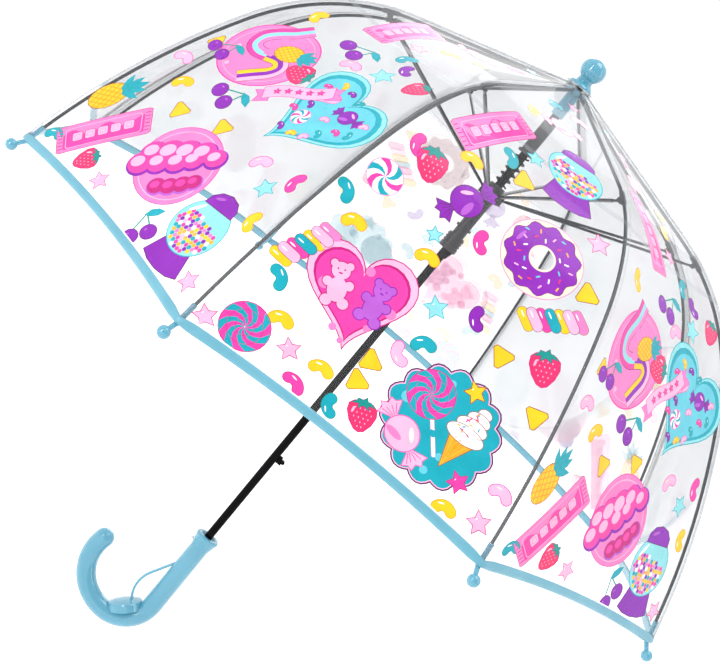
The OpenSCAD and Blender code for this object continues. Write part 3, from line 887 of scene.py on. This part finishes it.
def candyfloss(size=82):
    k = size / 82
    a = ell(4, 0, 38, 40, 40)
    out = drawn(a, "pink", "hot", 0.7, 1)
    out += band(ell(4, 0, 33, 35, 40), ell(4, 0, 34, 36, 40), 2, "light")
    puffs = [(-28, 14, 11), (-16, 22, 11), (-2, 17, 12), (12, 12, 12), (26, 6, 11), (36, -4, 9),
             (-12, 9, 10), (18, 1, 9), (4, 4, 10)]
    for x, y, r in puffs:
        out.append((3, "purple", ell(x, y - 1.5, r + 1.6, r + 1.6, 22)))
    for x, y, r in puffs:
        out.append((4, "hot", ell(x, y, r, r, 22)))
    for x, y, r in puffs:
        out.append((5, "light", ell(x - 1.5, y + 2.5, r * 0.6, r * 0.5, 16)))
    low = [(-14, -16, 8), (-3, -20, 8), (8, -22, 8), (18, -23, 7)]
    for x, y, r in low:
        out.append((3, "violet", ell(x, y - 1, r + 1.2, r + 1.2, 20)))
    for x, y, r in low:
        out.append((4, "deep", ell(x, y, r, r, 20)))
    for x, y, r in low:
        out.append((5, "hot", ell(x - 1, y + 1.6, r * 0.55, r * 0.45, 14)))
    return moved(out, k=k)


# ---- Layouts: motif, u, v, turn in degrees. u is across the gore and v up from the hem, in mm ----
DESIGN_A = [
    (pineapple(58), -110, 84, -26), (bar(88), -82, 52, 55), (strawberry(28), -66, 24, -30),
    (star_m("light", 20), -35, 20, 60),
    (candyfloss(84), 5, 74, 60), (cherries(42), 40, 21, 45), (machine(90), 80, 56, 6),
    (star_m("light", 19), 119, 24, 60),
    (star_m("aqua", 19), 88, 115, 60), (bean("hot"), 102, 134, 100), (bean("yellow"), 110, 89, 108),
    (bean("yellow"), -75, 130, 40),
    (tri(16), -47, 111, 60), (tri(16), 0, 126, 60), (heart_teal(104), 50, 190, -18),
    (cherries(40), -30, 150, -34),
    (oval(96), -50, 200, -45), (bean("light"), -101, 146, 10), (cherries(40), -8, 264, -30),
    (bean("light"), 8, 246, 22),
    (star_m("aqua", 22), 37, 258, 60), (bar(84), -30, 330, 98), (bean("teal"), 21, 293, 76),
    (bean("purple"), 39, 280, 130),
    (star_m("light", 17), 4, 318, 30), (bean("yellow"), 12, 350, 60),
    (wrapped("light", 40), -6, 400, 40), (bean("hot"), 6, 440, 80),
    (star_m("aqua", 14), -2, 470, 20), (bean("teal"), -118, 20, 20), (bean("light"), 60, 128, 40),
    (tri(14), -96, 176, 10),
    (strawberry(26), 70, 268, -20), (bean("yellow"), -70, 262, 100), (tri(14), 24, 375, 50),
]
DESIGN_B = [
    (lollipop(38, 26), -101, 26, -104), (bean("yellow"), -84, 48, 14),
    (star_m("light", 18), -66, 33, 40), (star_m("light", 18), -128, 15, 40),
    (bean("yellow"), -39, 37, 10), (bean("hot"), -48, 14, -20), (bean("teal"), -104, 72, -42),
    (rope(50), -104, 104, 65),
    (heart_pink(86), -50, 96, 20), (bean("teal"), 9, 102, 30), (bean("light"), -1, 84, 138),
    (tri(16), -14, 66, 30),
    (tri(16), -13, 47, 40), (bean("teal"), -18, 17, 118), (strawberry(28), 5, 27, 23),
    (badge(88), 56, 60, 38),
    (tri(16), 61, 133, -54), (strawberry(30), 92, 146, 25), (tri(16), 108, 112, -43),
    (rope(52), 76, 182, 36),
    (donut(68), 42, 219, 33), (star_m("light", 20), 72, 264, 30), (tri(17), 86, 218, 30),
    (bean("purple"), 29, 144, 121),
    (star_m("aqua", 19), 0, 130, 40), (bean("yellow"), -28, 158, 15), (bean("hot"), -3, 196, 115),
    (wrapped("purple", 52), -30, 216, 62),
    (star_m("aqua", 13), -34, 176, 30), (bean("yellow"), -87, 142, 20),
    (strawberry(32), -68, 220, 20), (bean("yellow"), -46, 250, 12),
    (mint(29), -90, 186, 20), (bean("teal"), -106, 157, -44), (bean("hot"), -86, 226, 106),
    (bar(84), -46, 296, 62),
    (tri(17), -4, 269, 27), (bean("teal"), -22, 280, -49), (star_m("aqua", 16), -6, 300, 25),
    (machine(84), 28, 318, 8),
    (bean("light"), 121, 50, 0), (bean("yellow"), 94, 13, 18), (star_m("light", 19), 121, 22, 38),
    (wrapped("light", 44), 0, 388, 34),
    (bean("teal"), -14, 430, 60), (bean("light"), 12, 436, 20), (star_m("light", 13), 2, 462, 10),
    (bean("yellow"), -28, 370, 80),
]


SEAM_CLEAR = 2.6
HEM_CLEAR = 7.0
PRINT_LIFT, LAYER_STEP = 0.3, 0.05
LEAST_AREA = 0.05
ROW_CUTS = [20 * i for i in range(1, 11)] + [214 + 9 * i for i in range(18)] + [400, 430]
COLUMN_CUTS = (-105, -70, -35, 0, 35, 70, 105)


def on_gore(x, y):
    """The point held inside the gore, clear of its seams and hem."""
    room = half_width(max(y, 0)) - SEAM_CLEAR
    return min(max(x, -room), room), max(y, HEM_CLEAR)


def gore_faces(design, g):
    """The printed shapes of one gore, cut to follow its curve and split at its middle line."""
    bm = bmesh.new()
    layer_of = bm.faces.layers.int.new("lay")
    for shapes, u, v, rot in design:
        for l, ink, pts in moved(shapes, u, v, rot):
            ok = [on_gore(x, y) for x, y in pts]
            area = sum(ok[i - 1][0] * ok[i][1] - ok[i][0] * ok[i - 1][1] for i in range(len(ok)))
            if abs(area) < LEAST_AREA:
                continue
            if area < 0:
                ok = ok[::-1]
            f = bm.faces.new([bm.verts.new((x, y, 0)) for x, y in ok])
            f.material_index = INK_ORDER.index(ink)
            f[layer_of] = l
    bm.normal_update()
    bmesh.ops.triangulate(bm, faces=[f for f in bm.faces if len(f.verts) > 4],
                          ngon_method="EAR_CLIP")
    cuts = [((0, y, 0), (0, 1, 0)) for y in ROW_CUTS]
    cuts += [((x, 0, 0), (1, 0, 0)) for x in COLUMN_CUTS]
    for co, no in cuts:
        geom = bm.verts[:] + bm.edges[:] + bm.faces[:]
        bmesh.ops.bisect_plane(bm, geom=geom, plane_co=co, plane_no=no, dist=1e-4)
    left, right_ = [], []
    for f in bm.faces:
        if f.calc_area() < 1e-3:
            continue
        pts = [surf(g, p.co.x, p.co.y, PRINT_LIFT + LAYER_STEP * f[layer_of]) for p in f.verts]
        (left if f.calc_center_median().x < 0 else right_).append((f.material_index, pts))
    bm.free()
    return left, right_


sides = {g: gore_faces(DESIGN_A if g % 2 else DESIGN_B, g) for g in range(1, 9)}


def print_piece(n):
    """The prints on rib n's half of each gore beside it."""
    faces_in = sides[n][0] + sides[(n - 2) % 8 + 1][1]
    verts, faces, index = [], [], []
    for ink, pts in faces_in:
        faces.append(tuple(range(len(verts), len(verts) + len(pts))))
        verts += pts
        index.append(ink)
    return put(f"canopy_print_{n}", verts, faces, [INK[k] for k in INK_ORDER], index, False)


for n in range(1, 9):
    film, seam, hem, prints = film_piece(n), seam_piece(n), hem_piece(n), print_piece(n)
    for o in (film, seam, hem, prints):
        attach(o, f"rib_{n}")
        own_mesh(o)
    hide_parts(f"canopy_panel_{n}")

# ---- Floor, world and lights ----
FLOOR_R, FLOOR_Z, FLOOR_SIDES = 30, -0.16, 48


def floor_piece():
    m, nt, b = new_mat("studio_floor")
    tc = grain(nt, b, 3, 0.75, 0.9)
    tinted(nt, b, tc, (0.93, 0.93, 0.925), (0.95, 0.95, 0.945), 2)
    b.inputs["Emission Color"].default_value = (1, 1, 0.995, 1)
    b.inputs["Emission Strength"].default_value = 0.2
    v = []
    for i in range(FLOOR_SIDES):
        a = 2 * pi * i / FLOOR_SIDES
        v.append(Vector((FLOOR_R * cos(a), FLOOR_R * sin(a), FLOOR_Z)))
    return put("studio_floor", v, [tuple(range(FLOOR_SIDES))], [m])


floor_piece()

# The world is white behind the umbrella and softer behind the camera
world = bpy.data.worlds.new("studio_world")
world.use_nodes = True
wt = world.node_tree
bg = wt.nodes["Background"]
wc = wt.nodes.new("ShaderNodeTexCoord")
sep = wt.nodes.new("ShaderNodeSeparateXYZ")
wr = wt.nodes.new("ShaderNodeMapRange")
wr.inputs["From Min"].default_value = -0.95
wr.inputs["From Max"].default_value = -0.05
wr.inputs["To Min"].default_value = 0.58
wr.inputs["To Max"].default_value = 1.08
wt.links.new(wc.outputs["Generated"], sep.inputs[0])
wt.links.new(sep.outputs["Y"], wr.inputs["Value"])
wt.links.new(wr.outputs["Result"], bg.inputs["Strength"])
bg.inputs["Color"].default_value = (1, 1, 1, 1)
bpy.context.scene.world = world


def area_light(name, at, aim, w, h, power):
    d = bpy.data.lights.new(name, "AREA")
    d.shape = "RECTANGLE"
    d.size, d.size_y, d.energy = w, h, power
    o = bpy.data.objects.new(name, d)
    o.location = at
    o.rotation_euler = (Vector(aim) - Vector(at)).to_track_quat("-Z", "Y").to_euler()
    bpy.context.scene.collection.objects.link(o)


area_light("key_strip", (-1.5, -2.1, 0.9), (0, 0, 0.25), 0.13, 2.4, 24)
area_light("top_box", (0.3, -0.5, 2.6), (0, 0, 0.4), 1.2, 1.2, 14)
area_light("rim_strip", (2.3, -0.6, 1.3), (0, 0, 0.35), 0.14, 2.0, 5)
area_light("floor_wash", (0.0, 3.6, 2.6), (0, 3.0, -0.16), 3.0, 3.0, 60)
